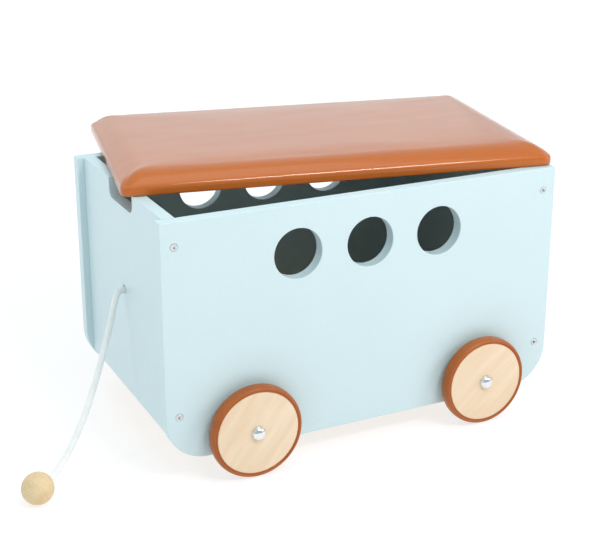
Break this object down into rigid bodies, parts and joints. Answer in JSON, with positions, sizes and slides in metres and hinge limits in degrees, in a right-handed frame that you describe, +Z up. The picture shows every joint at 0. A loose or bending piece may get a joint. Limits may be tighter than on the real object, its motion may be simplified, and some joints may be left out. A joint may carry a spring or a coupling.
{
  "type": "toy box",
  "caption": "Painted wooden toy box on rubber-tyred wooden wheels, with round portholes, a loose padded lid lying askew on the rim, and a pull cord ending in a wooden ball.",
  "frame": {"origin": "on the ground, at the middle of the footprint with the lid lying as stored; the box's own middle is 34 mm towards -X and 48.25 mm towards -Y of it", "axes": "+Z up; X along the box, with the pull cord at its -X end; -Y is the front"},
  "size_m": [0.8563, 0.5262, 0.3974],
  "materials": {
    "painted_board": "satin pale aqua paint",
    "bare_board": "bare plywood",
    "screw_steel": "nickel plated",
    "axle_steel": "plain steel rod",
    "spacer_nylon": "off-white nylon",
    "chrome_cap": "polished",
    "cord_cotton": "white braided cotton",
    "ball_wood": "lightly oiled beech",
    "wheel_wood": "clear satin lacquer on birch",
    "tyre_rubber": "tan brown, satin",
    "lid_leather": "cognac leatherette, smooth satin",
    "lid_foam": "upholstery foam",
    "lid_lining": "black nonwoven"
  },
  "bodies": {
    "box": {"long_panel_front": "painted_board", "long_panel_rear": "painted_board", "end_panel_left": "painted_board", "end_panel_right": "painted_board", "floor_board": "bare_board", "panel_screw_front_left_lower": "screw_steel", "panel_screw_front_left_upper": "screw_steel", "panel_screw_front_right_lower": "screw_steel", "panel_screw_front_right_upper": "screw_steel", "panel_screw_rear_left_lower": "screw_steel", "panel_screw_rear_left_upper": "screw_steel", "panel_screw_rear_right_lower": "screw_steel", "panel_screw_rear_right_upper": "screw_steel", "axle_left": "axle_steel", "axle_right": "axle_steel", "wheel_spacer_front_left": "spacer_nylon", "wheel_spacer_front_right": "spacer_nylon", "wheel_spacer_rear_left": "spacer_nylon", "wheel_spacer_rear_right": "spacer_nylon", "hub_cap_front_left": "chrome_cap", "hub_cap_front_right": "chrome_cap", "hub_cap_rear_left": "chrome_cap", "hub_cap_rear_right": "chrome_cap", "pull_cord": "cord_cotton", "cord_knot": "cord_cotton", "pull_ball": "ball_wood"},
    "lid": {"lid_board": "bare_board", "lid_foam_pad": "lid_foam", "lid_cover": "lid_leather", "lid_lining": "lid_lining"},
    "wheel_front_left": {"wheel_disc_front_left": "wheel_wood", "tyre_front_left": "tyre_rubber"},
    "wheel_front_right": {"wheel_disc_front_right": "wheel_wood", "tyre_front_right": "tyre_rubber"},
    "wheel_rear_left": {"wheel_disc_rear_left": "wheel_wood", "tyre_rear_left": "tyre_rubber"},
    "wheel_rear_right": {"wheel_disc_rear_right": "wheel_wood", "tyre_rear_right": "tyre_rubber"}
  },
  "joints": [
    {"name": "lid_lift", "type": "slide", "parent": "box", "child": "lid", "axis": [0, 0, 1], "range_m": [0, 0.3]},
    {"name": "wheel_turn_front_left", "type": "hinge", "parent": "box", "child": "wheel_front_left", "pos_m": [-0.214, -0.24565, 0.06575], "axis": [0, 1, 0], "continuous": true},
    {"name": "wheel_turn_front_right", "type": "hinge", "parent": "box", "child": "wheel_front_right", "pos_m": [0.146, -0.24565, 0.06575], "axis": [0, 1, 0], "continuous": true},
    {"name": "wheel_turn_rear_left", "type": "hinge", "parent": "box", "child": "wheel_rear_left", "pos_m": [-0.214, 0.14915, 0.06575], "axis": [0, 1, 0], "continuous": true},
    {"name": "wheel_turn_rear_right", "type": "hinge", "parent": "box", "child": "wheel_rear_right", "pos_m": [0.146, 0.14915, 0.06575], "axis": [0, 1, 0], "continuous": true}
  ]
}
